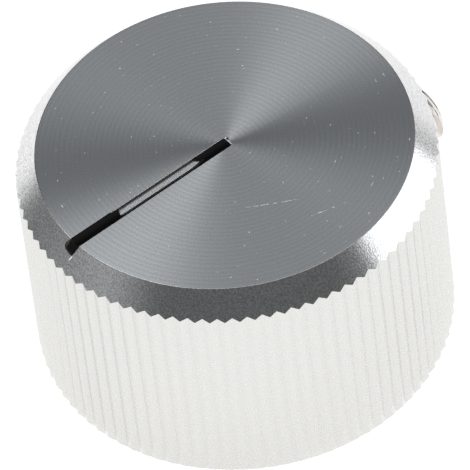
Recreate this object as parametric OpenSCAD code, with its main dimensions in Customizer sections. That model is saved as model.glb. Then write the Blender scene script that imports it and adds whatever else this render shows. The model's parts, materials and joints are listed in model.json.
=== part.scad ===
// Potentiometer knob: a turned aluminium body with a fluted side, a painted pointer slot and a grub screw.
// Units are millimetres. The base stands on z = 0, the shaft's axis is z, and the pointer looks along -y.

/* [Knob] */
// Diameter over the tips of the flutes
knob_d = 25; // [20:0.5:40]
// Height from the base to the top face
knob_h = 15.2; // [13:0.1:25]
// Height of the polished chamfer below the top face
chamfer_h = 1.55; // [0.8:0.05:3]
// Radial width of the polished chamfer
chamfer_w = 1.3; // [0.5:0.05:3]
// Bevel round the base, where the flutes run out
base_bevel = 0.25; // [0.2:0.05:0.6]

/* [Flutes] */
// Number of straight flutes around the side
flute_count = 89; // [40:1:140]
// Depth of each V-shaped flute
flute_depth = 0.155; // [0.05:0.005:0.4]

/* [Pointer] */
// Width of the pointer slot
slot_w = 0.76; // [0.5:0.02:1]
// Depth of the pointer slot
slot_depth = 0.2; // [0.15:0.01:0.6]
// How far the slot starts behind the knob's axis
slot_past_axis = 0.25; // [0:0.05:2]

/* [Paint] */
// Drop of the paint's surface below the top face
paint_drop = 0.03; // [0.01:0.01:0.1]
// Distance from the axis to the near end of the stretch where the slot's floor is bare
bare_from = 2.2; // [1:0.1:4]
// Distance from the axis to the far end of that stretch
bare_to = 7.9; // [5:0.1:8.5]
// Paint left on the slot's +x wall beside the bare floor
paint_bank = 0.36; // [0.1:0.02:0.42]
// Paint left on the slot's -x wall beside the bare floor
paint_skin = 0.02; // [0.01:0.01:0.05]
// Thickness of the run of paint on the chamfer
run_t = 0.04; // [0.02:0.01:0.1]
// Width of that run
run_w = 0.94; // [0.8:0.02:1.2]
// How far out from the top face's edge it reaches
run_reach = 0.52; // [0.4:0.02:0.7]
// How far it lies to the -x side of the slot
run_shift = 0.17; // [0:0.01:0.2]

/* [Shaft bore] */
// Diameter of the bore for the shaft
bore_d = 6.05; // [4:0.05:8]
// Lead-in at the mouth of the bore
bore_lead_in = 0.3; // [0.1:0.05:0.8]
// Included angle of the drill point that ends the bore
drill_angle = 118; // [90:1:140]
// Metal between the drill point and the floor of the slot
roof = 1.4; // [0.5:0.1:3]

/* [Nut recess] */
// Diameter of the recess that clears the nut on the panel
recess_d = 16; // [12:0.5:18]
// Depth of that recess
recess_depth = 2; // [1:0.1:3]

/* [Grub screw] */
// Outside diameter of the screw's thread
screw_d = 4; // [3:0.5:5]
// Length of the screw
screw_len = 8; // [5:0.5:8.5]
// Height of the screw's axis above the base
screw_z = 6.8; // [6:0.1:8.5]
// How far the screw stands out of the side
screw_proud = 2.15; // [0.5:0.05:3]
// Radial clearance between the screw and its hole
screw_gap = 0.05; // [0.02:0.01:0.1]
// Bevel round the screw's outer end
screw_bevel = 0.4; // [0.2:0.05:0.6]
// Diameter of the cup at the screw's point
cup_d = 2; // [1:0.1:2.4]
// Included angle of the hollow in the cup
cup_angle = 120; // [90:1:140]
// Width across the flats of the hexagon socket
socket_af = 2; // [1.3:0.1:2.2]
// Depth of the hexagon socket's flats
socket_depth = 2.2; // [1:0.1:3]
// Countersink round the mouth of the screw's hole
hole_sink = 0.25; // [0.1:0.05:0.5]

/* [Hidden] */
$fn = 180;

// Overlap that lets a cut run clear of the face it leaves
over = 1;

knob_r = knob_d / 2;
top_r = knob_r - chamfer_w;
slot_floor = knob_h - slot_depth;

bore_r = bore_d / 2;
drill_point_h = bore_r / tan(drill_angle / 2);
bore_end = slot_floor - roof - drill_point_h;
recess_r = recess_d / 2;

screw_r = screw_d / 2;
screw_hole_r = screw_r + screw_gap;
screw_end = knob_r + screw_proud;
cup_r = cup_d / 2;
cup_depth = cup_r / tan(cup_angle / 2);
socket_corner_r = socket_af / 2 / cos(30);

aluminium = "#d7d9da";
steel = "#bdb9b4";
enamel = "#1b1c1b";

// Plan of the fluted side: tips on the outside diameter, and a valley under the pointer
module flute_plan() {
    steps = 2 * flute_count;
    polygon([
        for (i = [0 : steps - 1])
            let (
                angle = i * 360 / steps - 90,
                r = i % 2 == 0 ? knob_r - flute_depth : knob_r
            )
            [r * cos(angle), r * sin(angle)]
    ]);
}

// Turned outside form, with its chamfer moved out by a coat: both cones run on past the flutes
module turned_outside(coat = 0) {
    slope = chamfer_h / chamfer_w;
    rotate_extrude()
        polygon([
            [0, 0],
            [knob_r - base_bevel, 0],
            [knob_r + over, base_bevel + over],
            [knob_r + over, knob_h - chamfer_h - (over - coat) * slope],
            [top_r + coat, knob_h],
            [0, knob_h]
        ]);
}

// Blind bore with its drill point and lead-in, and the nut recess below it
module shaft_hole() {
    rotate_extrude()
        polygon([
            [0, -over],
            [recess_r, -over],
            [recess_r, recess_depth],
            [bore_r + bore_lead_in, recess_depth],
            [bore_r, recess_depth + bore_lead_in],
            [bore_r, bore_end],
            [0, bore_end + drill_point_h]
        ]);
}

// Straight slot from behind the axis out past the chamfer, filled up to a height above its floor
module slot_form(height) {
    length = slot_past_axis + knob_r + over;
    translate([-slot_w / 2, slot_past_axis - length, slot_floor])
        cube([slot_w, length, height]);
}

// Upright stadium from one y to another, where the second is the lower
module stadium(from_y, to_y, r, z, h) {
    translate([-r, to_y + r, z])
        cube([2 * r, from_y - to_y - 2 * r, h]);
    for (y = [from_y - r, to_y + r])
        translate([0, y, z])
            cylinder(r = r, h = h);
}

// Places children with z running outwards along the screw's axis, from the knob's axis
module along_screw() {
    translate([0, 0, screw_z])
        rotate([-90, 0, 0])
            children();
}

// Hole for the grub screw, from the bore out through the side
module screw_hole() {
    along_screw() {
        cylinder(r = screw_hole_r, h = knob_r + over);
        translate([0, 0, knob_r - flute_depth - hole_sink])
            cylinder(
                r1 = screw_hole_r,
                r2 = screw_hole_r + hole_sink + flute_depth + over,
                h = hole_sink + flute_depth + over
            );
    }
}

// Hexagon socket with a drilled point at its end
module hex_socket() {
    drilled_r = socket_af / 2;
    translate([0, 0, screw_len - socket_depth])
        cylinder(r = socket_corner_r, h = socket_depth + over, $fn = 6);
    translate([0, 0, screw_len - socket_depth - drilled_r / tan(drill_angle / 2)])
        cylinder(r1 = 0, r2 = drilled_r, h = drilled_r / tan(drill_angle / 2));
}

module knob_body() {
    color(aluminium)
        difference() {
            intersection() {
                linear_extrude(knob_h)
                    flute_plan();
                turned_outside();
            }
            shaft_hole();
            slot_form(slot_depth + over);
            screw_hole();
        }
}

module grub_screw() {
    color(steel)
        along_screw()
            translate([0, 0, screw_end - screw_len])
                difference() {
                    rotate_extrude()
                        polygon([
                            [0, cup_depth],
                            [cup_r, 0],
                            [screw_r, screw_r - cup_r],
                            [screw_r, screw_len - screw_bevel],
                            [screw_r - screw_bevel, screw_len],
                            [0, screw_len]
                        ]);
                    hex_socket();
                }
}

// Enamel in the slot, with a bare stretch of floor along its middle and a run over the chamfer
module pointer_paint() {
    fill_h = slot_depth - paint_drop;
    bare_r = (slot_w - paint_bank - paint_skin) / 2;
    run_coat = run_t * norm([chamfer_h, chamfer_w]) / chamfer_h;
    color(enamel) {
        difference() {
            intersection() {
                slot_form(fill_h);
                turned_outside(run_coat);
            }
            translate([paint_skin + bare_r - slot_w / 2, 0, 0])
                stadium(-bare_from, -bare_to, bare_r, slot_floor - over, slot_depth + over);
        }
        intersection() {
            translate([-run_shift, -top_r - run_reach / 2, 0])
                rotate([0, 0, 90])
                    stadium(run_w / 2, -run_w / 2, run_reach / 2, slot_floor - chamfer_h, fill_h + chamfer_h);
            difference() {
                turned_outside(run_coat);
                turned_outside();
            }
        }
    }
}

knob_body();
grub_screw();
pointer_paint();
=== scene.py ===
"""Potentiometer knob: a turned aluminium knob with a fluted side, a painted pointer slot and a grub screw.

Metres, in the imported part's frame: base on z = 0, shaft axis along z, pointer along -y, grub screw along +y.
"""

import json
import math

import bmesh
import bpy
from mathutils import Matrix, Vector


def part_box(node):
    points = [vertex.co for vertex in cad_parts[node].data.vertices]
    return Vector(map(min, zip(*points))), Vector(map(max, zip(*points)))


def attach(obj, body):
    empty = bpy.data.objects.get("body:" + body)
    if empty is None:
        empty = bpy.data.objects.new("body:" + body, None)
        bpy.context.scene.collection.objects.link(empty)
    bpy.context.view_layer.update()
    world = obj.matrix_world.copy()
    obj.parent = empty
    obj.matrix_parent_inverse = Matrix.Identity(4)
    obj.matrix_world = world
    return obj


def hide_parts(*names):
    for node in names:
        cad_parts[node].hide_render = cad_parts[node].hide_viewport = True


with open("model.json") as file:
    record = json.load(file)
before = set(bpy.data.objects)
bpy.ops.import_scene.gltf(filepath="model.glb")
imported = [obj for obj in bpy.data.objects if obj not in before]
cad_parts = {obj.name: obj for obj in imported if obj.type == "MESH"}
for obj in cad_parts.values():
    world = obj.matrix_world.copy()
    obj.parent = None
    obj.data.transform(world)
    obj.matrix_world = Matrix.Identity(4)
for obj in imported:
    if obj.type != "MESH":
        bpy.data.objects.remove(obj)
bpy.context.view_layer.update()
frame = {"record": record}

MM = 0.001

# Node kinds that are used most
MATH = "ShaderNodeMath"
VECTOR_MATH = "ShaderNodeVectorMath"
INTEGER_MATH = "FunctionNodeIntegerMath"
MAP_RANGE = "ShaderNodeMapRange"
MIX = "ShaderNodeMix"
NOISE = "ShaderNodeTexNoise"
PRINCIPLED = "ShaderNodeBsdfPrincipled"
MATERIAL_OUTPUT = "ShaderNodeOutputMaterial"

# Points this close are merged, faces this near to a height are level with it, and cutters run this far clear
WELD = 0.0005 * MM
LEVEL = 0.0001 * MM
CLEAR = 1 * MM
ROUND_SEGMENTS = 160
# Angles in degrees past which an edge of each piece stays crisp
BODY_CREASE, SCREW_CREASE, PAINT_CREASE = 3, 20, 50

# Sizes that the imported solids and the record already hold
KNOB_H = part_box("knob_body")[1].z
SCREW_LOW, SCREW_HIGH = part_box("grub_screw")
SCREW_R = (SCREW_HIGH.x - SCREW_LOW.x) / 2
SCREW_LEN = SCREW_HIGH.y - SCREW_LOW.y
SCREW_Z = (SCREW_HIGH.z + SCREW_LOW.z) / 2
MOUNTS = {mount["name"]: mount["dims"] for mount in frame["record"]["mounts"]}
RECESS_R = MOUNTS["nut_recess"]["r_mm"] * MM
RECESS_DEPTH = MOUNTS["nut_recess"]["length_mm"] * MM
BORE_R = MOUNTS["shaft_bore"]["r_mm"] * MM
BORE_LENGTH = MOUNTS["shaft_bore"]["length_mm"] * MM

# Turned body
KNOB_R = 12.5 * MM
CHAMFER_H = 1.55 * MM
CHAMFER_W = 1.3 * MM
TOP_R = KNOB_R - CHAMFER_W
CHAMFER_SLOPE = CHAMFER_H / CHAMFER_W
EDGE_BREAK = 0.03 * MM
EDGE_STEPS = 5
BASE_BEVEL = 0.25 * MM
RECESS_BREAK = 0.08 * MM
BORE_LEAD_IN = 0.3 * MM
BORE_END = RECESS_DEPTH + BORE_LEAD_IN + BORE_LENGTH
DRILL_HALF_ANGLE = math.radians(59)

# Flutes, each with a narrow land on its crest and in its valley
FLUTES = 89
FLUTE_DEPTH = 0.155 * MM
CREST_LAND = 0.05 * MM
VALLEY_LAND = 0.03 * MM

# Spun top: the spacing of its rings, the slope of their flanks in radians, and the net that its dents lie in
RING_PITCH = 0.31 * MM
RING_LEAN = 0.02
DENT_NET = 0.8 * MM
# Handling marks on it: the width of the net that they lie in, and its columns to a radian
MARK_NET = 0.12 * MM
MARK_COLUMNS = 16
# Two scratches on it: the middle and half the length of each in millimetres, and its turn in degrees
SCRATCHES = (((5.51, -0.96), 1.53, 58.6), ((8.04, 0.84), 1.61, 74.5))
SCRATCH_HALF_W = 0.022 * MM
# The way that the bright flank of a scratch or mark looks
MARK_FLANK = (0.76, 0.345, 0.55)
# Nick on the chamfer at the pointer's foot: its middle, half sizes, turn, and the way its flank looks
FOOT_NICK = (0.2 * MM, -11.82 * MM, KNOB_H - 0.74 * MM)
FOOT_NICK_SIZE = (0.13 * MM, 0.035 * MM, 1 * MM)
FOOT_NICK_TURN = math.radians(62)
FOOT_NICK_FLANK = (0.816, -0.534, 0.22)

# Pointer slot
SLOT_W = 0.76 * MM
SLOT_DEPTH = 0.2 * MM
SLOT_FLOOR = KNOB_H - SLOT_DEPTH
SLOT_PAST_AXIS = 0.25 * MM
SLOT_BREAK = 0.012 * MM
SLOT_CORNER = 0.12 * MM
CORNER_STEPS = 5
# Lip that the cutter left at the slot's inner end, and a nick beside it with a drop of paint in it
LIP_W = 0.06 * MM
LIP_H = 0.018 * MM
NICK_R = 0.13 * MM
NICK_DEPTH = 0.15 * MM
NICK_SEGMENTS = 24
NICK_FILL = 0.62
BESIDE_SLOT = Matrix.Translation((-0.2 * MM, 0.38 * MM, KNOB_H)) @ Matrix.Diagonal((1.15, 0.8, 1, 1))

# Enamel: the height of its edges, the dip of its middle, and how deep it is bedded in the metal
PAINT_LEVEL = KNOB_H - SLOT_BREAK
PAINT_DIP = 0.045 * MM
SUNK = 0.004 * MM
# Shares of its width where its points lie, closer at the -x wall, and its steps along the slot and the run
ACROSS = [0, 0.012, 0.03, 0.05] + [0.08 + 0.92 * j / 24 for j in range(25)]
SLOT_STEPS = 230
RUN_STEPS = 26
# Bare stretch of the slot's floor: its tip across and along the slot, then where each side starts and stops
BARE_TIP_X, BARE_TIP = -0.06 * MM, 1.91 * MM
BARE_WALL_FROM, BARE_WALL_TO = 2.2 * MM, 7.66 * MM
BARE_EDGE, BARE_EDGE_FROM, BARE_EDGE_TO = 0.035 * MM, 2.89 * MM, 7.87 * MM
BARE_CORNER_FROM, BARE_CORNER = 7.6 * MM, 0.08 * MM
# Beside it: the banks of paint on the +x wall and at its ends, and the skin on the -x wall with its foot
BANK_W = 0.25 * MM
BANK_END_W = 0.05 * MM
SKIN_T = 0.012 * MM
SKIN_FOOT = 0.025 * MM
# Paint spilt over the slot's -x edge: its width, its height, and where it starts and is full
SPILL_W, SPILL_T = 0.05 * MM, 0.007 * MM
SPILL_FROM, SPILL_FULL = 7.7 * MM, 8.4 * MM
# Run of paint over the chamfer: its thickness, how far it takes to thin out, and where its smear ends
RUN_T = 0.04 * MM
RUN_FADE = 0.1 * MM
SMEAR_FROM, SMEAR_TO = 0.25 * MM, 0.42 * MM
# How fast it thickens from its edges, what is left of it at its end, and what it loses beside the slot
RUN_RISE, RUN_END, RUN_LOSS = 2.5, 0.05, 0.7
# Powers that round the bank, the skin and the run's edges
BANK_CURVE, SKIN_CURVE, RUN_CURVE = 1.4, 3, 0.6
# Metal tint on the bank's slope, a painted reflection; metal showing through the skin, and what is left of the
# skin at its foot
BANK_PAINTED_SHEEN, SKIN_THIN, SKIN_LEFT = 0.3, 0.86, 0.3
# How far the run spreads to -x and +x at each distance past the top face, in millimetres
RUN_OUTLINE = (
    (0.0, 0.44, 0.39),
    (0.1, 0.54, 0.36),
    (0.22, 0.64, 0.32),
    (0.32, 0.635, 0.29),
    (0.4, 0.58, 0.26),
    (0.46, 0.46, 0.23),
    (0.5, 0.25, 0.2),
    (0.525, 0.02, 0.17),
)
RUN_REACH = RUN_OUTLINE[-1][0] * MM

# Grub screw: coarse metric thread, hexagon socket, cup point
PITCH = 0.7 * MM
THREAD_DEPTH = 0.613 * PITCH
THREAD_ROWS = 16
THREAD_COLUMNS = 72
THREAD_START = -0.125 * MM
SCREW_BEVEL = 0.4 * MM
CUP_R = 1.0 * MM
CUP_DEPTH = CUP_R / math.tan(math.radians(60))
SOCKET_ACROSS = 2.0 * MM
SOCKET_DEPTH = 2.2 * MM
SOCKET_POINT = 0.4 * MM
HOLE_R = SCREW_R + 0.05 * MM
HOLE_SINK = 0.25 * MM
# Turns z outwards along the screw's axis
OUTWARD_ALONG_Y = Matrix.Rotation(-math.pi / 2, 4, "X")

# The photograph's camera: the azimuth of its right hand and its elevation in degrees, its roll, distance and
# focal length, and where a point on the axis lands in a 470 pixel frame
FRAME_PX = 470
VIEW_AZIMUTH = 56.7
VIEW_ELEVATION = 48.88
VIEW_ROLL = math.radians(-7.48)
VIEW_DISTANCE = 589 * MM
VIEW_FOCAL_PX = 9951.4
AXIS_POINT = KNOB_H - 7.5 * MM
AXIS_PX = (235.5, 226.9)
SENSOR_W = 36

# Key light: azimuth from the camera's right hand, elevation and spread in degrees, distance and brightness
KEY_AZIMUTH = 141
KEY_ELEVATION = 61.5
KEY_SPREAD = 14.4
KEY_DISTANCE = 140 * MM
KEY_LEVEL = 0.92
COOL_WHITE = (0.98, 1.0, 1.02)
# Room: its level high up, at the horizon and below it, and the heights on a unit sphere where these meet
ROOM_HIGH, ROOM_HORIZON, ROOM_BELOW = 0.415, 0.2, 0.8
HIGH_FROM = 0.5
BELOW_FROM, BELOW_TO = -0.05, -0.12
# Soft patches in it, two dark and two lit: azimuth from the camera's right hand, elevation, spread and
# softness in degrees, and level
ROOM_PATCHES = (
    (-87, 10, 58, 16, 0.125),
    (98, 35, 29.5, 12, 0.03),
    (75.6, 67.4, 16.5, 5, 0.52),
    (1.5, 1.7, 29, 6, 1.62),
)

# Floor, how bright it shows, and its lit pool: where that starts to fade and where it is gone
FLOOR_R = 400 * MM
FLOOR_SEGMENTS = 96
FLOOR_GLOW = 0.78
POOL_FROM = 78 * MM
POOL_TO = 230 * MM
# To the camera's right the fade ends sooner, and takes this share of the pool
POOL_TO_RIGHT = 155 * MM
POOL_FADE_RIGHT = 0.52
# What is left of the pool's level behind the knob: a painted shadow of the knob, seen in the metal
POOL_BEHIND = 0.85


def linear(hex_colour):
    """An sRGB hex value as a linear colour."""
    channels = [int(hex_colour[i : i + 2], 16) / 255 for i in (1, 3, 5)]
    return tuple(c / 12.92 if c <= 0.04045 else ((c + 0.055) / 1.055) ** 2.4 for c in channels) + (1.0,)


def towards(azimuth, elevation=0):
    """The direction at an azimuth from the camera's right hand and an elevation, in degrees."""
    turn, up = math.radians(azimuth + VIEW_AZIMUTH), math.radians(elevation)
    return Vector((math.cos(turn) * math.cos(up), math.sin(turn) * math.cos(up), math.sin(up)))


def add(tree, kind, sockets=None, **settings):
    """Adds a node with its settings. A socket takes a value, an output, or a node for its first output."""
    node = tree.nodes.new(kind)
    for name, value in settings.items():
        setattr(node, name, value)
    for name, value in (sockets or {}).items():
        source = value.outputs[0] if isinstance(value, bpy.types.Node) else value
        if isinstance(source, bpy.types.NodeSocket):
            tree.links.new(source, node.inputs[name])
        else:
            node.inputs[name].default_value = source
    return node


def start_material(name):
    """An empty material, its tree, and the place on the piece that its patterns follow."""
    material = bpy.data.materials.new(name)
    material.use_nodes = True
    tree = material.node_tree
    tree.nodes.clear()
    return material, tree, add(tree, "ShaderNodeTexCoord").outputs["Object"]


def from_axis(tree, place):
    """The flat vector from the knob's axis to a place, and its length in metres."""
    flat = add(tree, VECTOR_MATH, {0: place, 1: (1, 1, 0)}, operation="MULTIPLY")
    return flat, add(tree, VECTOR_MATH, {0: flat}, operation="LENGTH").outputs["Value"]


def dents(tree, place):
    """Dents up to 0.08 mm across in a few cells of a net: where they are, and the way each floor looks."""
    sockets = {"Vector": place, "Scale": 1 / DENT_NET}
    cells = add(tree, "ShaderNodeTexVoronoi", sockets, voronoi_dimensions="2D")
    # A cell's random colour gives its dent: red whether there is one, green its size, blue and red its slope
    chance = add(tree, "ShaderNodeSeparateColor", {"Color": cells.outputs["Color"]}).outputs
    size = add(tree, MATH, {0: chance["Green"], 1: 0.032, 2: 0.015}, operation="MULTIPLY_ADD")
    inside = add(tree, MATH, {0: cells.outputs["Distance"], 1: size}, operation="LESS_THAN")
    chosen = add(tree, MATH, {0: chance["Red"], 1: 0.87}, operation="GREATER_THAN")
    slope_x = add(tree, MATH, {0: chance["Blue"], 1: 0.45, 2: 0.5}, operation="MULTIPLY_ADD")
    slope_y = add(tree, MATH, {0: chance["Red"], 1: 2.0, 2: -1.5}, operation="MULTIPLY_ADD")
    facet = add(tree, "ShaderNodeCombineXYZ", {"X": slope_x, "Y": slope_y, "Z": 0.6})
    return add(tree, MATH, {0: inside, 1: chosen}, operation="MULTIPLY"), facet


def handling_marks(tree, flat, radius):
    """Where the handling marks are: broken arcs up to 1 mm long and 0.06 mm wide."""
    axes = add(tree, "ShaderNodeSeparateXYZ", {"Vector": flat}).outputs
    angle = add(tree, MATH, {0: axes["Y"], 1: axes["X"]}, operation="ARCTAN2")
    turn = add(tree, MATH, {0: angle, 1: MARK_COLUMNS}, operation="MULTIPLY")
    across = add(tree, MATH, {0: radius, 1: MARK_NET}, operation="DIVIDE")
    polar = add(tree, "ShaderNodeCombineXYZ", {"X": turn, "Y": across})
    arcs = add(tree, NOISE, {"Vector": polar, "Scale": 1.0, "Detail": 1.0}, noise_dimensions="2D")
    return add(tree, MAP_RANGE, {"Value": arcs, "From Min": 0.82, "From Max": 0.87})


def scratches(tree, place, flat):
    """Where the two scratches are: straight lines, broken by skips about 0.3 mm long."""
    covered = 0.0
    for (east, north), half_length, degrees in SCRATCHES:
        line = add(
            tree,
            "ShaderNodeMapping",
            {
                "Vector": flat,
                "Location": (east * MM, north * MM, 0),
                "Rotation": (0, 0, math.radians(degrees)),
                "Scale": (half_length * MM, SCRATCH_HALF_W, 1),
            },
            vector_type="TEXTURE",
        )
        off = add(tree, VECTOR_MATH, {0: line}, operation="LENGTH").outputs["Value"]
        near = add(tree, MATH, {0: off, 1: 1.0}, operation="LESS_THAN")
        covered = add(tree, MATH, {0: near, 1: covered}, operation="MAXIMUM")
    skips = add(tree, NOISE, {"Vector": place, "Scale": 1 / (0.3 * MM), "Detail": 2.0})
    kept = add(tree, MAP_RANGE, {"Value": skips, "From Min": 0.49, "From Max": 0.53})
    return add(tree, MATH, {0: covered, 1: kept}, operation="MULTIPLY")


def spun_aluminium():
    """Top face, faced on a lathe: fine rings round the axis spread each light into a fan across them."""
    material, tree, place = start_material("spun_aluminium")
    flat, radius = from_axis(tree, place)
    outward = add(tree, VECTOR_MATH, {0: flat}, operation="NORMALIZE")

    # The tool's feed leaves rings about 0.05 mm apart, drawn six times as coarse so that they show
    waver = add(tree, NOISE, {"W": radius, "Scale": 1 / (1.2 * MM), "Detail": 3.0}, noise_dimensions="1D")
    drift = add(tree, MATH, {0: waver, 1: 5.0}, operation="MULTIPLY")
    phase = add(tree, MATH, {0: radius, 1: math.tau / RING_PITCH, 2: drift}, operation="MULTIPLY_ADD")
    rings = add(tree, MATH, {0: phase}, operation="SINE")
    grain = add(tree, NOISE, {"Vector": place, "Scale": 1 / (0.08 * MM), "Detail": 2.0})
    mottle = add(tree, MAP_RANGE, {"Value": grain, "From Min": 0.2, "From Max": 0.8})
    shade = add(tree, MATH, {0: rings, 1: 0.02, 2: mottle}, operation="MULTIPLY_ADD")
    tint = add(tree, MIX, {0: shade, 6: linear("#d9dee2"), 7: linear("#fbfdff")}, data_type="RGBA")

    swing = add(tree, MATH, {0: phase}, operation="COSINE")
    lean = add(tree, MATH, {0: swing, 1: RING_LEAN}, operation="MULTIPLY")
    flank = add(tree, VECTOR_MATH, {0: outward, "Scale": lean}, operation="SCALE")
    plain = add(tree, "ShaderNodeNewGeometry").outputs["Normal"]
    normal = add(tree, VECTOR_MATH, {0: plain, 1: flank}, operation="ADD")
    for share, way in (
        dents(tree, place),
        (handling_marks(tree, flat, radius), MARK_FLANK),
        (scratches(tree, place, flat), MARK_FLANK),
    ):
        normal = add(tree, MIX, {0: share, 4: normal, 5: way}, data_type="VECTOR").outputs[1]
    shader = add(
        tree,
        PRINCIPLED,
        {
            "Metallic": 1.0,
            "Base Color": tint.outputs[2],
            "Roughness": 0.366,
            "Anisotropic": 0.89,
            "Tangent": outward,
            "Normal": add(tree, VECTOR_MATH, {0: normal}, operation="NORMALIZE"),
        },
    )
    add(tree, MATERIAL_OUTPUT, {"Surface": shader})
    return material


def polished_aluminium():
    """Chamfer, cut with a polished tool: close to a mirror, broken up by a fine grain."""
    material, tree, place = start_material("polished_aluminium")
    # The grain is drawn 0.1 mm across, coarser than the cut leaves it, so that it shows
    grain = add(tree, NOISE, {"Vector": place, "Scale": 1 / (0.1 * MM), "Detail": 2.0})
    bump = add(tree, "ShaderNodeBump", {"Height": grain, "Strength": 1.0, "Distance": 0.005 * MM})
    mottle = add(tree, MAP_RANGE, {"Value": grain, "From Min": 0.35, "From Max": 0.65})
    tint = add(tree, MIX, {0: mottle, 6: linear("#cbcaca"), 7: linear("#ffffff")}, data_type="RGBA")

    nick = add(
        tree,
        "ShaderNodeMapping",
        {
            "Vector": place,
            "Location": FOOT_NICK,
            "Rotation": (0, 0, FOOT_NICK_TURN),
            "Scale": FOOT_NICK_SIZE,
        },
        vector_type="TEXTURE",
    )
    off = add(tree, VECTOR_MATH, {0: nick}, operation="LENGTH").outputs["Value"]
    inside = add(tree, MATH, {0: off, 1: 1.0}, operation="LESS_THAN")
    normal = add(tree, MIX, {0: inside, 4: bump, 5: FOOT_NICK_FLANK}, data_type="VECTOR")
    shader = add(
        tree,
        PRINCIPLED,
        {
            "Metallic": 1.0,
            "Base Color": tint.outputs[2],
            "Roughness": 0.12,
            "Normal": normal.outputs[1],
        },
    )
    add(tree, MATERIAL_OUTPUT, {"Surface": shader})
    return material


def knurled_aluminium():
    """Fluted side, rolled and left satin: soft reflections along each flank, with painted shade making the
    colour a little darker down in the flutes.
    """
    material, tree, place = start_material("knurled_aluminium")
    radius = from_axis(tree, place)[1]
    grain = add(tree, NOISE, {"Vector": place, "Scale": 1 / (0.25 * MM), "Detail": 3.0})
    rough = add(
        tree,
        MAP_RANGE,
        {"Value": grain, "From Min": 0.3, "From Max": 0.7, "To Min": 0.24, "To Max": 0.32},
    )
    # Painted shade: the colour darkens slightly from each crest down into its valley
    valley, crest = KNOB_R - FLUTE_DEPTH, KNOB_R - FLUTE_DEPTH * 0.3
    out_of_valley_shade = add(tree, MAP_RANGE, {"Value": radius, "From Min": valley, "From Max": crest})
    tint = add(tree, MIX, {0: out_of_valley_shade, 6: linear("#e0dfdd"), 7: linear("#e2e1de")}, data_type="RGBA")
    shader = add(tree, PRINCIPLED, {"Metallic": 1.0, "Base Color": tint.outputs[2], "Roughness": rough})
    add(tree, MATERIAL_OUTPUT, {"Surface": shader})
    return material


def bored_aluminium():
    """Underside, recess, bore and screw hole, rough-turned: open rings from the tool's feed."""
    material, tree, place = start_material("bored_aluminium")
    radius = from_axis(tree, place)[1]
    rings = add(tree, NOISE, {"W": radius, "Scale": 1 / (0.2 * MM), "Detail": 3.0}, noise_dimensions="1D")
    bump = add(tree, "ShaderNodeBump", {"Height": rings, "Strength": 0.4, "Distance": 0.01 * MM})
    shader = add(
        tree,
        PRINCIPLED,
        {"Metallic": 1.0, "Base Color": linear("#e4e5e4"), "Roughness": 0.36, "Normal": bump},
    )
    add(tree, MATERIAL_OUTPUT, {"Surface": shader})
    return material


def milled_aluminium():
    """Slot, cut with a small cutter: low ridges across it, one from each step of the feed."""
    material, tree, place = start_material("milled_aluminium")
    along = add(tree, "ShaderNodeSeparateXYZ", {"Vector": place}).outputs["Y"]
    grain = add(tree, NOISE, {"Vector": place, "Scale": 1 / (0.08 * MM), "Detail": 2.0})
    even = add(tree, MATH, {0: along, 1: math.tau / (0.06 * MM)}, operation="MULTIPLY")
    phase = add(tree, MATH, {0: grain, 1: 4.0, 2: even}, operation="MULTIPLY_ADD")
    ridge = add(tree, MATH, {0: phase}, operation="SINE")
    bump = add(tree, "ShaderNodeBump", {"Height": ridge, "Strength": 1.0, "Distance": 0.0027 * MM})
    tint = add(tree, MIX, {0: grain, 6: linear("#eceff1"), 7: linear("#fafcfd")}, data_type="RGBA")
    shader = add(
        tree,
        PRINCIPLED,
        {"Metallic": 1.0, "Base Color": tint.outputs[2], "Roughness": 0.34, "Normal": bump},
    )
    add(tree, MATERIAL_OUTPUT, {"Surface": shader})
    return material


def zinc_steel():
    """Grub screw, zinc-plated steel: bright, a little warm, with a faint cloud in the plating."""
    material, tree, place = start_material("zinc_steel")
    cloud = add(tree, NOISE, {"Vector": place, "Scale": 1 / (0.6 * MM), "Detail": 3.0})
    rough = add(
        tree,
        MAP_RANGE,
        {"Value": cloud, "From Min": 0.3, "From Max": 0.7, "To Min": 0.2, "To Max": 0.3},
    )
    shader = add(tree, PRINCIPLED, {"Metallic": 1.0, "Base Color": linear("#ebe7e4"), "Roughness": rough})
    add(tree, MATERIAL_OUTPUT, {"Surface": shader})
    return material


def black_enamel():
    """Pointer filling, black enamel: deep black where thick, brown where a thin smear shows the metal, and
    lighter on the bank's slope as a painted reflection.
    """
    material, tree, place = start_material("black_enamel")
    thin_and_sheen = add(tree, "ShaderNodeAttribute", attribute_name="thin_and_sheen").outputs["Fac"]
    patch = add(tree, NOISE, {"Vector": place, "Scale": 1 / (0.12 * MM), "Detail": 2.0})
    wear_and_sheen = add(tree, MAP_RANGE, {"Value": patch, "From Min": 0.1, "From Max": 0.6})
    share = add(tree, MATH, {0: thin_and_sheen, 1: wear_and_sheen}, operation="MULTIPLY")
    tint = add(tree, MIX, {0: share, 6: linear("#0e0e0d"), 7: linear("#878079")}, data_type="RGBA")
    shader = add(
        tree,
        PRINCIPLED,
        {
            "Metallic": share,
            "Base Color": tint.outputs[2],
            "Roughness": 0.3,
            "IOR": 1.5,
            "Specular IOR Level": 0.2,
        },
    )
    add(tree, MATERIAL_OUTPUT, {"Surface": shader})
    return material


def mesh_object(name, vertices, edges=(), faces=()):
    """A new object in the scene from plain vertex, edge and face lists."""
    mesh = bpy.data.meshes.new(name)
    mesh.from_pydata(vertices, edges, faces)
    piece = bpy.data.objects.new(name, mesh)
    bpy.context.scene.collection.objects.link(piece)
    return piece


def settle(piece):
    """Turns a piece's modifiers into its plain mesh."""
    evaluated = piece.evaluated_get(bpy.context.evaluated_depsgraph_get())
    made = bpy.data.meshes.new_from_object(evaluated)
    piece.modifiers.clear()
    piece.data = made


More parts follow.
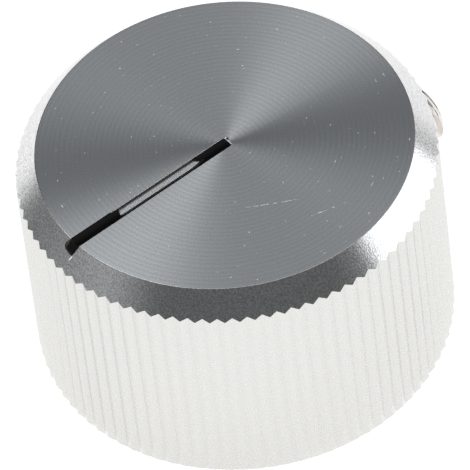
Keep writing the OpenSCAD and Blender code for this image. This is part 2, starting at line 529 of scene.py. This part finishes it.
def close_up(piece):
    """Closes a piece's open ends with flat faces, and turns every face outwards."""
    shape = bmesh.new()
    shape.from_mesh(piece.data)
    bmesh.ops.dissolve_degenerate(shape, dist=WELD, edges=shape.edges)
    bmesh.ops.holes_fill(shape, edges=[edge for edge in shape.edges if edge.is_boundary])
    bmesh.ops.recalc_face_normals(shape, faces=shape.faces)
    shape.to_mesh(piece.data)
    shape.free()


def turned_cutter(name, profile, place, material, segments=ROUND_SEGMENTS):
    """A closed cutter turned from a profile of (radius, height) pairs that starts and ends on its axis."""
    shape = bmesh.new()
    points = [shape.verts.new((radius, 0, height)) for radius, height in profile]
    edges = [shape.edges.new(pair) for pair in zip(points, points[1:])]
    bmesh.ops.spin(
        shape,
        geom=points + edges,
        cent=(0, 0, 0),
        axis=(0, 0, 1),
        angle=math.tau,
        steps=segments,
        use_merge=True,
    )
    bmesh.ops.remove_doubles(shape, verts=shape.verts, dist=WELD)
    shape.transform(place)
    if shape.calc_volume(signed=True) < 0:
        bmesh.ops.reverse_faces(shape, faces=shape.faces)
    cutter = mesh_object(name, [])
    shape.to_mesh(cutter.data)
    shape.free()
    cutter.data.materials.append(material)
    return cutter


def cut(piece, cutter):
    """Cuts one closed shape out of another and removes the cutter."""
    modifier = piece.modifiers.new("cut", "BOOLEAN")
    modifier.operation = "DIFFERENCE"
    modifier.solver = "EXACT"
    modifier.object = cutter
    modifier.material_mode = "TRANSFER"
    settle(piece)
    bpy.data.objects.remove(cutter)


def smooth(piece, degrees):
    """Smooth faces, with a crisp edge wherever two of them turn by more than an angle."""
    piece.data.shade_smooth()
    piece.data.set_sharp_from_angle(angle=math.radians(degrees))


def start_tree(name, inputs):
    """A geometry tree with named inputs: returns it, its input sockets by name and its output node."""
    tree = bpy.data.node_groups.new(name, "GeometryNodeTree")
    tree.interface.new_socket("Geometry", in_out="OUTPUT", socket_type="NodeSocketGeometry")
    tree.interface.new_socket("Geometry", in_out="INPUT", socket_type="NodeSocketGeometry")
    for label, kind in inputs.items():
        tree.interface.new_socket(label, in_out="INPUT", socket_type=kind)
    given = {socket.name: socket for socket in add(tree, "NodeGroupInput").outputs if socket.name}
    return tree, given, add(tree, "NodeGroupOutput")


def run_tree(piece, tree, values):
    """Runs a geometry tree on a piece with its inputs set by name, and keeps the plain mesh."""
    modifier = piece.modifiers.new(tree.name, "NODES")
    modifier.node_group = tree
    for item in tree.interface.items_tree:
        if item.in_out == "INPUT" and item.name in values:
            modifier[item.identifier] = values[item.name]
    settle(piece)


def wrapped_sheet(tree, columns, rows):
    """A sheet of points to wrap round an axis: its geometry, and each point's column and row numbers."""
    across = add(tree, INTEGER_MATH, {0: columns, 1: 1}, operation="ADD")
    sheet = add(tree, "GeometryNodeMeshGrid", {"Vertices X": across, "Vertices Y": rows})
    index = add(tree, "GeometryNodeInputIndex")
    column = add(tree, INTEGER_MATH, {0: index, 1: rows}, operation="DIVIDE_FLOOR")
    row = add(tree, INTEGER_MATH, {0: index, 1: rows}, operation="MODULO")
    return sheet, column, row


def finish_sheet(tree, sheet, place, material, output):
    """Places a sheet's points, closes its seam and ends the tree."""
    wrapped = add(tree, "GeometryNodeSetPosition", {"Geometry": sheet, "Position": place})
    closed = add(tree, "GeometryNodeMergeByDistance", {"Geometry": wrapped, "Distance": WELD})
    plain = add(tree, "GeometryNodeRealizeInstances", {"Geometry": closed})
    dressed = add(tree, "GeometryNodeSetMaterial", {"Geometry": plain, "Material": material})
    tree.links.new(dressed.outputs["Geometry"], output.inputs["Geometry"])


def fluted_turning_tree(material):
    """Wraps a lathe profile round the z axis, and sinks flutes into its marked rows along their slopes."""
    tree, given, output = start_tree(
        "fluted_turning",
        {
            "Flutes": "NodeSocketInt",
            "Depth": "NodeSocketFloat",
            "Crest Half": "NodeSocketFloat",
            "Valley Half": "NodeSocketFloat",
        },
    )
    profile = given["Geometry"]
    columns = add(tree, INTEGER_MATH, {0: given["Flutes"], 1: 4}, operation="MULTIPLY")
    rows = add(tree, "GeometryNodeAttributeDomainSize", {"Geometry": profile}).outputs["Point Count"]
    sheet, column, row = wrapped_sheet(tree, columns, rows)

    sampled = {}
    for label in ("radius", "height", "fluted", "slope"):
        value = add(tree, "GeometryNodeInputNamedAttribute", {"Name": label}, data_type="FLOAT")
        sampled[label] = add(
            tree,
            "GeometryNodeSampleIndex",
            {"Geometry": profile, "Value": value, "Index": row},
            data_type="FLOAT",
            domain="POINT",
        )

    # Four columns to a flute: both edges of its valley, then both edges of its crest
    quarter = add(tree, MATH, {0: column, 1: 4.0}, operation="DIVIDE")
    flute = add(tree, MATH, {0: quarter}, operation="FLOOR")
    part = add(tree, MATH, {0: column, 1: 4.0}, operation="FLOORED_MODULO")
    crest = add(tree, MATH, {0: part, 1: 1.5}, operation="GREATER_THAN")
    valley = add(tree, MATH, {0: 1.0, 1: crest}, operation="SUBTRACT")
    second = add(tree, MATH, {0: part, 1: 2.0}, operation="FLOORED_MODULO")
    side = add(tree, MATH, {0: second, 1: 2.0, 2: -1.0}, operation="MULTIPLY_ADD")
    crest_half = add(tree, MATH, {0: given["Crest Half"], 1: crest}, operation="MULTIPLY")
    valley_half = add(tree, MATH, {0: given["Valley Half"], 1: valley}, operation="MULTIPLY")
    half = add(tree, MATH, {0: crest_half, 1: valley_half}, operation="ADD")
    middle = add(tree, MATH, {0: crest, 1: 0.5, 2: flute}, operation="MULTIPLY_ADD")
    aside = add(tree, MATH, {0: side, 1: half}, operation="MULTIPLY")
    step = add(tree, MATH, {0: middle, 1: aside}, operation="ADD")
    turns = add(tree, MATH, {0: step, 1: math.tau}, operation="MULTIPLY")
    turn = add(tree, MATH, {0: turns, 1: given["Flutes"]}, operation="DIVIDE")
    angle = add(tree, MATH, {0: turn, 1: math.pi / 2}, operation="SUBTRACT")

    sink = add(tree, MATH, {0: given["Depth"], 1: valley}, operation="MULTIPLY")
    inward = add(tree, MATH, {0: sink, 1: sampled["fluted"]}, operation="MULTIPLY")
    radius = add(tree, MATH, {0: sampled["radius"], 1: inward}, operation="SUBTRACT")
    rise = add(tree, MATH, {0: sink, 1: sampled["slope"]}, operation="MULTIPLY")
    cosine = add(tree, MATH, {0: angle}, operation="COSINE")
    sine = add(tree, MATH, {0: angle}, operation="SINE")
    x = add(tree, MATH, {0: radius, 1: cosine}, operation="MULTIPLY")
    y = add(tree, MATH, {0: radius, 1: sine}, operation="MULTIPLY")
    z = add(tree, MATH, {0: sampled["height"], 1: rise}, operation="ADD")
    place = add(tree, "ShaderNodeCombineXYZ", {"X": x, "Y": y, "Z": z})
    finish_sheet(tree, sheet, place, material, output)
    return tree


def turning_rows():
    """The body's profile, from the top's edge down and round to the drill point.

    Each row is a radius, a height, whether flutes sink into it, and its rise for each unit of their depth.
    """
    tilt = math.atan(CHAMFER_SLOPE)
    round_r = EDGE_BREAK / math.tan(tilt / 2)
    rows = []
    for step in range(EDGE_STEPS + 1):
        turn = tilt * step / EDGE_STEPS
        radius = TOP_R - EDGE_BREAK + round_r * math.sin(turn)
        rows.append((radius, KNOB_H - round_r * (1 - math.cos(turn)), 0, 0))
    return rows + [
        (KNOB_R, KNOB_H - CHAMFER_H, 1, CHAMFER_SLOPE),
        (KNOB_R, BASE_BEVEL, 1, -1),
        (KNOB_R - BASE_BEVEL, 0, 0, 0),
        (RECESS_R + RECESS_BREAK, 0, 0, 0),
        (RECESS_R, RECESS_BREAK, 0, 0),
        (RECESS_R, RECESS_DEPTH, 0, 0),
        (BORE_R + BORE_LEAD_IN, RECESS_DEPTH, 0, 0),
        (BORE_R, RECESS_DEPTH + BORE_LEAD_IN, 0, 0),
        (BORE_R, BORE_END, 0, 0),
        (0, BORE_END + BORE_R / math.tan(DRILL_HALF_ANGLE), 0, 0),
    ]


def finish_zones(body, finishes):
    """Gives each face of the turning the finish of its zone."""
    zones = ("top", "chamfer", "side", "bore")
    upright = 0.1
    body.data.materials.clear()
    for zone in zones:
        body.data.materials.append(finishes[zone])
    for face in body.data.polygons:
        out = math.hypot(face.center.x, face.center.y)
        if face.center.z > KNOB_H - LEVEL:
            zone = "top"
        elif face.normal.z > upright and out > TOP_R - EDGE_BREAK * 2:
            zone = "chamfer"
        elif out > KNOB_R - FLUTE_DEPTH * 1.5 and abs(face.normal.z) < upright:
            zone = "side"
        else:
            zone = "bore"
        face.material_index = zones.index(zone)


def shape_inner_end(slot):
    """Rounds the two upright corners at the slot's inner end, and slopes its upper edge back into a lip."""
    near = 0.001 * MM
    shape = bmesh.new()
    shape.from_mesh(slot.data)
    upright = [
        edge
        for edge in shape.edges
        if all(abs(point.co.y - SLOT_PAST_AXIS) < near for point in edge.verts)
        and abs(edge.verts[0].co.z - edge.verts[1].co.z) > near
    ]
    bmesh.ops.bevel(
        shape,
        geom=upright,
        offset=SLOT_CORNER,
        segments=CORNER_STEPS,
        profile=0.5,
        affect="EDGES",
    )
    for height in (KNOB_H - LIP_H, KNOB_H):
        bmesh.ops.bisect_plane(
            shape,
            geom=shape.verts[:] + shape.edges[:] + shape.faces[:],
            dist=LEVEL,
            plane_co=(0, 0, height),
            plane_no=(0, 0, 1),
        )
    for point in shape.verts:
        if point.co.z > KNOB_H - near:
            point.co.y += LIP_W * max(0.0, 1 - (SLOT_PAST_AXIS - point.co.y) / SLOT_CORNER)
    shape.to_mesh(slot.data)
    shape.free()


def slot_cutter(finish):
    """The pointer slot's cutter: a straight bar that breaks the slot's edges and shapes its inner end."""
    half, mouth = SLOT_W / 2, SLOT_W / 2 + SLOT_BREAK
    above = KNOB_H + CLEAR
    ring = [
        (-half, SLOT_FLOOR),
        (half, SLOT_FLOOR),
        (half, KNOB_H - SLOT_BREAK),
        (mouth, KNOB_H),
        (mouth, above),
        (-mouth, above),
        (-mouth, KNOB_H),
        (-half, KNOB_H - SLOT_BREAK),
    ]
    count = len(ring)
    points = [(x, y, z) for y in (SLOT_PAST_AXIS, -KNOB_R - CLEAR) for x, z in ring]
    ends = [tuple(range(count))[::-1], tuple(range(count, 2 * count))]
    sides = [(i, (i + 1) % count, count + (i + 1) % count, count + i) for i in range(count)]
    slot = mesh_object("slot_cutter", points, [], ends + sides)
    slot.data.materials.append(finish)
    close_up(slot)
    shape_inner_end(slot)
    return slot


def turned_body(finishes):
    """The body: a fluted turning with its bore, cut for the pointer, a nick beside it and the screw."""
    rows = turning_rows()
    body = mesh_object("turned_body", [(radius, 0, height) for radius, height, *_ in rows])
    for column, label in zip(zip(*rows), ("radius", "height", "fluted", "slope")):
        body.data.attributes.new(label, "FLOAT", "POINT").data.foreach_set("value", column)
    flute_pitch = math.tau * KNOB_R / FLUTES
    run_tree(
        body,
        fluted_turning_tree(finishes["side"]),
        {
            "Flutes": FLUTES,
            "Depth": FLUTE_DEPTH,
            "Crest Half": CREST_LAND / 2 / flute_pitch,
            "Valley Half": VALLEY_LAND / 2 / flute_pitch,
        },
    )
    close_up(body)
    finish_zones(body, finishes)

    cut(body, slot_cutter(finishes["slot"]))
    nick = [(0, -NICK_DEPTH), (NICK_R, 0), (NICK_R * 2, NICK_DEPTH), (0, NICK_DEPTH)]
    cut(body, turned_cutter("nick_cutter", nick, BESIDE_SLOT, finishes["chamfer"], NICK_SEGMENTS))

    sink_from, hole_end = KNOB_R - FLUTE_DEPTH - HOLE_SINK, KNOB_R + CLEAR
    hole = [
        (0, 0),
        (HOLE_R, 0),
        (HOLE_R, sink_from),
        (HOLE_R + hole_end - sink_from, hole_end),
        (0, hole_end),
    ]
    along_screw = Matrix.Translation((0, 0, SCREW_Z)) @ OUTWARD_ALONG_Y
    cut(body, turned_cutter("hole_cutter", hole, along_screw, finishes["bore"]))
    smooth(body, BODY_CREASE)
    return body


def cut_thread_tree(material):
    """Wraps a thread round the screw's axis along rows that follow the helix, bevelled at both ends."""
    tree, given, output = start_tree(
        "cut_thread",
        {
            "Columns": "NodeSocketInt",
            "Rows per Turn": "NodeSocketInt",
            "Length": "NodeSocketFloat",
            "Pitch": "NodeSocketFloat",
            "Thread Depth": "NodeSocketFloat",
            "Radius": "NodeSocketFloat",
            "Bevel": "NodeSocketFloat",
            "Cup Radius": "NodeSocketFloat",
            "Start": "NodeSocketFloat",
            "Point": "NodeSocketFloat",
            "Axis Height": "NodeSocketFloat",
        },
    )
    length, full_radius = given["Length"], given["Radius"]
    pitches = add(tree, MATH, {0: length, 1: given["Pitch"]}, operation="DIVIDE")
    whole = add(tree, MATH, {0: pitches}, operation="CEIL")
    turns = add(tree, MATH, {0: whole, 1: 2.0}, operation="ADD")
    rows = add(tree, MATH, {0: turns, 1: given["Rows per Turn"], 2: 1.0}, operation="MULTIPLY_ADD")
    sheet, column, row = wrapped_sheet(tree, given["Columns"], rows)
    share = add(tree, MATH, {0: column, 1: given["Columns"]}, operation="DIVIDE")
    angle = add(tree, MATH, {0: share, 1: math.tau}, operation="MULTIPLY")
    phase = add(tree, MATH, {0: row, 1: given["Rows per Turn"]}, operation="DIVIDE")
    ahead = add(tree, MATH, {0: phase, 1: share}, operation="ADD")
    turned = add(tree, MATH, {0: ahead, 1: 1.0}, operation="SUBTRACT")
    height = add(tree, MATH, {0: turned, 1: given["Pitch"], 2: given["Start"]}, operation="MULTIPLY_ADD")
    below = add(tree, MATH, {0: height, 1: length}, operation="MINIMUM")
    along = add(tree, MATH, {0: below, 1: 0.0}, operation="MAXIMUM")

    # An eighth of the pitch is crest and a quarter is root
    crest_half, root_from = 1 / 16, 3 / 8
    shifted = add(tree, MATH, {0: phase, 1: 0.5 - crest_half}, operation="ADD")
    within = add(tree, MATH, {0: shifted}, operation="FRACT")
    wave = add(tree, MATH, {0: within, 1: 0.5}, operation="SUBTRACT")
    from_crest = add(tree, MATH, {0: wave}, operation="ABSOLUTE")
    flank = add(tree, MAP_RANGE, {"Value": from_crest, "From Min": crest_half, "From Max": root_from})
    # Past the ends the rows lie on the bevel's rim, with no thread in it
    on_screw = add(tree, MATH, {0: height, 1: length}, operation="LESS_THAN")
    deep = add(tree, MATH, {0: flank, 1: on_screw}, operation="MULTIPLY")
    groove = add(tree, MATH, {0: deep, 1: given["Thread Depth"]}, operation="MULTIPLY")
    thread = add(tree, MATH, {0: full_radius, 1: groove}, operation="SUBTRACT")
    rim = add(tree, MATH, {0: full_radius, 1: given["Bevel"]}, operation="SUBTRACT")
    left = add(tree, MATH, {0: length, 1: along}, operation="SUBTRACT")
    outer = add(tree, MATH, {0: rim, 1: left}, operation="ADD")
    inner = add(tree, MATH, {0: given["Cup Radius"], 1: along}, operation="ADD")
    bevelled = add(tree, MATH, {0: outer, 1: inner}, operation="MINIMUM")
    radius = add(tree, MATH, {0: thread, 1: bevelled}, operation="MINIMUM")

    sine = add(tree, MATH, {0: angle}, operation="SINE")
    cosine = add(tree, MATH, {0: angle}, operation="COSINE")
    x = add(tree, MATH, {0: radius, 1: sine}, operation="MULTIPLY")
    y = add(tree, MATH, {0: along, 1: given["Point"]}, operation="ADD")
    z = add(tree, MATH, {0: radius, 1: cosine, 2: given["Axis Height"]}, operation="MULTIPLY_ADD")
    place = add(tree, "ShaderNodeCombineXYZ", {"X": x, "Y": y, "Z": z})
    finish_sheet(tree, sheet, place, material, output)
    return tree


def set_screw(steel):
    """The grub screw: a cut thread with a hexagon socket in its outer end and a cup in its point."""
    screw = mesh_object("set_screw", [(0, 0, 0)])
    run_tree(
        screw,
        cut_thread_tree(steel),
        {
            "Columns": THREAD_COLUMNS,
            "Rows per Turn": THREAD_ROWS,
            "Length": SCREW_LEN,
            "Pitch": PITCH,
            "Thread Depth": THREAD_DEPTH,
            "Radius": SCREW_R,
            "Bevel": SCREW_BEVEL,
            "Cup Radius": CUP_R,
            "Start": THREAD_START,
            "Point": SCREW_LOW.y,
            "Axis Height": SCREW_Z,
        },
    )
    close_up(screw)
    from_point = Matrix.Translation((0, SCREW_LOW.y, SCREW_Z)) @ OUTWARD_ALONG_Y
    flats_end, mouth = SCREW_LEN - SOCKET_DEPTH, SCREW_LEN + CLEAR
    corner = SOCKET_ACROSS / 2 / math.cos(math.pi / 6)
    socket = [(0, flats_end - SOCKET_POINT), (corner, flats_end), (corner, mouth), (0, mouth)]
    cut(screw, turned_cutter("socket_cutter", socket, from_point, steel, 6))
    cup = [(0, CUP_DEPTH), (CUP_R * 2, -CUP_DEPTH), (0, -CUP_DEPTH)]
    cut(screw, turned_cutter("cup_cutter", cup, from_point, steel))
    smooth(screw, SCREW_CREASE)
    return screw


def ramp(value, low, high):
    """A straight step from 0 at low to 1 at high."""
    return min(max((value - low) / (high - low), 0.0), 1.0)


def ease(value, low, high):
    """A smooth step from 0 at low to 1 at high."""
    share = ramp(value, low, high)
    return share * share * (3 - 2 * share)


def chamfer_height(radius):
    """Height of the turned top and chamfer at a distance from the axis."""
    return KNOB_H - max(0.0, radius - TOP_R) * CHAMFER_SLOPE


def bare_span(out):
    """Where the bare floor starts and stops, across the slot, at a distance out along the pointer."""
    wall = -SLOT_W / 2
    start, stop = wall - BANK_END_W, BARE_EDGE
    if out < BARE_WALL_FROM:
        start += (BARE_TIP_X - wall) * (BARE_WALL_FROM - out) / (BARE_WALL_FROM - BARE_TIP)
    if out < BARE_EDGE_FROM:
        stop -= (BARE_EDGE - BARE_TIP_X) * ((BARE_EDGE_FROM - out) / (BARE_EDGE_FROM - BARE_TIP)) ** 2
    if out > BARE_WALL_TO:
        start += (BARE_EDGE - wall) * (out - BARE_WALL_TO) / (BARE_EDGE_TO - BARE_WALL_TO)
    if out > BARE_CORNER_FROM:
        stop -= BARE_CORNER * ((out - BARE_CORNER_FROM) / (BARE_EDGE_TO - BARE_CORNER_FROM)) ** 2
    return start, stop


def run_spread(past):
    """How far the run reaches to -x and +x at a distance past the top face."""
    past = past / MM
    for (start, left, right), (stop, next_left, next_right) in zip(RUN_OUTLINE, RUN_OUTLINE[1:]):
        if past <= stop:
            share = (past - start) / (stop - start)
            return (left + (next_left - left) * share) * MM, (right + (next_right - right) * share) * MM
    return RUN_OUTLINE[-1][1] * MM, RUN_OUTLINE[-1][2] * MM


def enamel_row(out):
    """A row of the enamel at a distance out: upper point, lower point, and thinness with painted sheen at each
    share across.
    """
    wall, past = SLOT_W / 2, out - TOP_R
    spill = ease(out, SPILL_FROM, SPILL_FULL)
    left, right = wall + SUNK + SPILL_W * spill, wall + SUNK
    if past > 0:
        left, right = run_spread(past)
    start, stop = bare_span(out)
    full_coat = RUN_T / math.cos(math.atan(CHAMFER_SLOPE))
    row = []
    for share in ACROSS:
        x = -left + (left + right) * share
        edge = 1 - abs(2 * share - 1)
        surface = chamfer_height(math.hypot(x, out))
        floor = min(SLOT_FLOOR, surface) if abs(x) < wall else surface

        # The pool in the slot, which falls to the bare floor between its bank and its skin
        full = PAINT_LEVEL - PAINT_DIP * (1 - (1 - edge) ** 2)
        bank = min(max((x - stop) / BANK_W, (start - x) / BANK_END_W, 0.0), 1.0)
        skin = 1 - ramp(x + wall, SKIN_T, SKIN_FOOT)
        top = SLOT_FLOOR - SUNK / 2 + (full - SLOT_FLOOR) * max(bank**BANK_CURVE, skin**SKIN_CURVE)

        # The run, thinner at its edges, at its end and beside the slot, and the film spilt before it
        if past > -RUN_FADE:
            coat = full_coat * min(1.0, RUN_RISE * edge) ** RUN_CURVE
            coat *= min(1.0, (RUN_REACH - past) / RUN_FADE + RUN_END)
            coat *= 1 - RUN_LOSS * ease(-x, wall, wall + RUN_FADE)
            top = min(top, surface + coat)
        if past <= 0 and x < -wall - 2 * SUNK:
            top = surface + SPILL_T * spill - (SPILL_T + SUNK) * (share == 0)

        # Thin at the smear on the run's -x side and where the bare stretch has worn it, and tinted on the
        # bank's slope as a painted reflection
        smear = ease(-x, wall - 0.4 * RUN_FADE, wall + RUN_FADE) if past > 0 else 0.0
        # Painted reflection: the bank's slope takes a share of the metal tint
        wear_and_sheen = BANK_PAINTED_SHEEN * (bank < 1)
        if x < BARE_TIP_X:
            wear_and_sheen = (1 - bank) * (1.0 if skin < SKIN_LEFT else SKIN_THIN)
        thin_and_sheen = max(smear * (1 - ease(past, SMEAR_FROM, SMEAR_TO)), wear_and_sheen)
        row.append(((x, -out, top), (x, -out, min(floor, top) - SUNK), thin_and_sheen))
    return row


def slab_faces(rows, columns):
    """Faces of a closed slab: a grid of points above, the same grid below, and a wall round the rim."""
    count, last = rows * columns, rows - 1
    faces = []
    for i in range(last):
        for j in range(columns - 1):
            corner = i * columns + j
            upper = (corner, corner + 1, corner + columns + 1, corner + columns)
            faces += [upper, tuple(count + point for point in reversed(upper))]
    rim = list(range(columns))
    rim += [i * columns + columns - 1 for i in range(1, rows)]
    rim += [last * columns + j for j in range(columns - 2, -1, -1)]
    rim += [i * columns for i in range(last - 1, 0, -1)]
    return faces + [(a, count + a, count + b, b) for a, b in zip(rim, rim[1:] + rim[:1])]


def add_nick_drop(paint):
    """Adds a drop of paint in the nick beside the slot's end."""
    depth = NICK_DEPTH * NICK_FILL
    shape = bmesh.new()
    shape.from_mesh(paint.data)
    bmesh.ops.create_cone(
        shape,
        cap_ends=True,
        segments=NICK_SEGMENTS,
        radius1=0,
        radius2=NICK_R * NICK_FILL,
        depth=depth,
        matrix=BESIDE_SLOT @ Matrix.Translation((0, 0, depth / 2 - NICK_DEPTH - SUNK)),
    )
    shape.to_mesh(paint.data)
    shape.free()


def pointer_enamel(enamel):
    """The enamel: a shallow pool in the slot, bare along its middle, with a run over the chamfer."""
    slot_length = TOP_R + SLOT_PAST_AXIS
    stations = [-SLOT_PAST_AXIS + slot_length * i / SLOT_STEPS for i in range(SLOT_STEPS)]
    stations += [TOP_R + RUN_REACH * i / RUN_STEPS for i in range(RUN_STEPS + 1)]
    tops, bottoms, thin_and_sheen = zip(*(point for out in stations for point in enamel_row(out)))
    faces = slab_faces(len(stations), len(ACROSS))
    paint = mesh_object("pointer_enamel", tops + bottoms, [], faces)
    paint.data.attributes.new("thin_and_sheen", "FLOAT", "POINT").data.foreach_set("value", thin_and_sheen + thin_and_sheen)
    paint.data.materials.append(enamel)
    close_up(paint)
    add_nick_drop(paint)
    smooth(paint, PAINT_CREASE)
    return paint


def studio_world():
    """Soft studio light: a grey room, darker in front and behind, lit low on the right and from above."""
    world = bpy.data.worlds.new("studio")
    world.use_nodes = True
    tree = world.node_tree
    tree.nodes.clear()
    way = add(tree, "ShaderNodeTexCoord").outputs["Generated"]
    height = add(tree, "ShaderNodeSeparateXYZ", {"Vector": way}).outputs["Z"]

    def blend(value, low, high, before, level):
        """Goes softly from the light before to a level, as a value goes from low to high."""
        sockets = {"Value": value, "From Min": low, "From Max": high}
        share = add(tree, MAP_RANGE, sockets, interpolation_type="SMOOTHSTEP")
        return add(tree, MIX, {0: share, 2: before, 3: level})

    light = blend(height, HIGH_FROM, 0.0, ROOM_HIGH, ROOM_HORIZON)
    for azimuth, elevation, spread, soft, level in ROOM_PATCHES:
        middle = towards(azimuth, elevation)
        facing = add(tree, VECTOR_MATH, {0: way, 1: middle}, operation="DOT_PRODUCT").outputs["Value"]
        outside, inside = (math.cos(math.radians(spread + side)) for side in (soft, -soft))
        light = blend(facing, outside, inside, light, level)
    light = blend(height, BELOW_FROM, BELOW_TO, light, ROOM_BELOW)
    glow = add(tree, "ShaderNodeBackground", {"Color": (*COOL_WHITE, 1.0), "Strength": light})
    add(tree, "ShaderNodeOutputWorld", {"Surface": glow})
    bpy.context.scene.world = world


def key_light():
    """A round soft light close by, high on the left."""
    way = towards(KEY_AZIMUTH, KEY_ELEVATION)
    data = bpy.data.lights.new("key_light", "AREA")
    data.shape = "DISK"
    data.size = 2 * KEY_DISTANCE * math.tan(math.radians(KEY_SPREAD))
    data.energy = math.pi * data.size**2 * KEY_LEVEL
    data.color = COOL_WHITE
    lamp = bpy.data.objects.new("key_light", data)
    bpy.context.scene.collection.objects.link(lamp)
    lamp.location = Vector((0, 0, KNOB_H)) + way * KEY_DISTANCE
    lamp.rotation_mode = "QUATERNION"
    lamp.rotation_quaternion = way.to_track_quat("Z", "Y")
    lamp.visible_camera = False


def pale_floor():
    """A white floor: white to the camera and in the metal, less the shadow that its matt paper takes."""
    bpy.ops.mesh.primitive_circle_add(vertices=FLOOR_SEGMENTS, radius=FLOOR_R, fill_type="NGON")
    floor = bpy.context.object
    floor.name = "floor"
    material, tree, place = start_material("white_paper")
    flat, distance = from_axis(tree, place)

    def across(azimuth, stop, before, after):
        """Goes from one value at the knob's axis to another at a distance, along a direction on the floor."""
        way = towards(azimuth)
        out = add(tree, VECTOR_MATH, {0: flat, 1: way}, operation="DOT_PRODUCT").outputs["Value"]
        return add(tree, MAP_RANGE, {"Value": out, "From Max": stop, "To Min": before, "To Max": after})

    pool_to = across(0, POOL_FROM, POOL_TO, POOL_TO_RIGHT)
    sockets = {"Value": distance, "From Min": POOL_FROM, "From Max": pool_to}
    fade = add(tree, MAP_RANGE, sockets, interpolation_type="SMOOTHSTEP")
    fade_by = across(0, POOL_FROM, 1.0, POOL_FADE_RIGHT)
    faded = add(tree, MATH, {0: fade, 1: fade_by}, operation="MULTIPLY")
    left = add(tree, MATH, {0: 1.0, 1: faded}, operation="SUBTRACT")
    # Painted shadow: the floor's light in the metal is dimmer behind the knob
    painted_shadow_behind = across(90, 2 * KNOB_R, 1.0, POOL_BEHIND)
    pool = add(tree, MATH, {0: left, 1: painted_shadow_behind}, operation="MULTIPLY")

    path = add(tree, "ShaderNodeLightPath").outputs
    reflected = {0: path["Is Glossy Ray"], 1: path["Is Transmission Ray"]}
    mirrored = add(tree, MATH, reflected, operation="MAXIMUM")
    in_metal = add(tree, MATH, {0: mirrored, 1: pool}, operation="MULTIPLY")
    seen = add(tree, MATH, {0: path["Is Camera Ray"], 1: in_metal}, operation="MAXIMUM")
    strength = add(tree, MATH, {0: seen, 1: FLOOR_GLOW}, operation="MULTIPLY")
    glow = add(tree, "ShaderNodeEmission", {"Color": (1, 1, 1, 1), "Strength": strength})
    paper = add(tree, "ShaderNodeBsdfDiffuse", {"Color": linear("#f2f2f0")})
    both = add(tree, "ShaderNodeAddShader", {0: glow, 1: paper})
    clear = add(tree, "ShaderNodeBsdfTransparent")
    back = add(tree, "ShaderNodeNewGeometry").outputs["Backfacing"]
    surface = add(tree, "ShaderNodeMixShader", {0: back, 1: both, 2: clear})
    add(tree, MATERIAL_OUTPUT, {"Surface": surface})
    floor.data.materials.append(material)


def photo_camera():
    """The camera, where the photograph was taken from."""
    right, back = towards(0), towards(-90, VIEW_ELEVATION)
    rise = back.cross(right)
    across = right * math.cos(VIEW_ROLL) + rise * math.sin(VIEW_ROLL)
    upward = back.cross(across)
    pixel = VIEW_DISTANCE / VIEW_FOCAL_PX
    aim = Vector((0, 0, AXIS_POINT))
    aim -= across * (AXIS_PX[0] - FRAME_PX / 2) * pixel
    aim -= upward * (FRAME_PX / 2 - AXIS_PX[1]) * pixel
    data = bpy.data.cameras.new("photo_camera")
    data.sensor_width = SENSOR_W
    data.lens = VIEW_FOCAL_PX / FRAME_PX * SENSOR_W
    camera = bpy.data.objects.new("photo_camera", data)
    bpy.context.scene.collection.objects.link(camera)
    turned = Matrix((across, upward, back)).transposed().to_4x4()
    camera.matrix_world = Matrix.Translation(aim + back * VIEW_DISTANCE) @ turned
    bpy.context.scene.camera = camera


photo_camera()
pale_floor()
key_light()
studio_world()
bpy.context.scene.view_settings.view_transform = "Standard"

finishes = {
    "top": spun_aluminium(),
    "chamfer": polished_aluminium(),
    "side": knurled_aluminium(),
    "bore": bored_aluminium(),
    "slot": milled_aluminium(),
}
for piece, node, slot in (
    (turned_body(finishes), "knob_body", "aluminium"),
    (set_screw(zinc_steel()), "grub_screw", "steel"),
    (pointer_enamel(black_enamel()), "pointer_paint", "enamel"),
):
    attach(piece, "root")
    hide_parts(node)
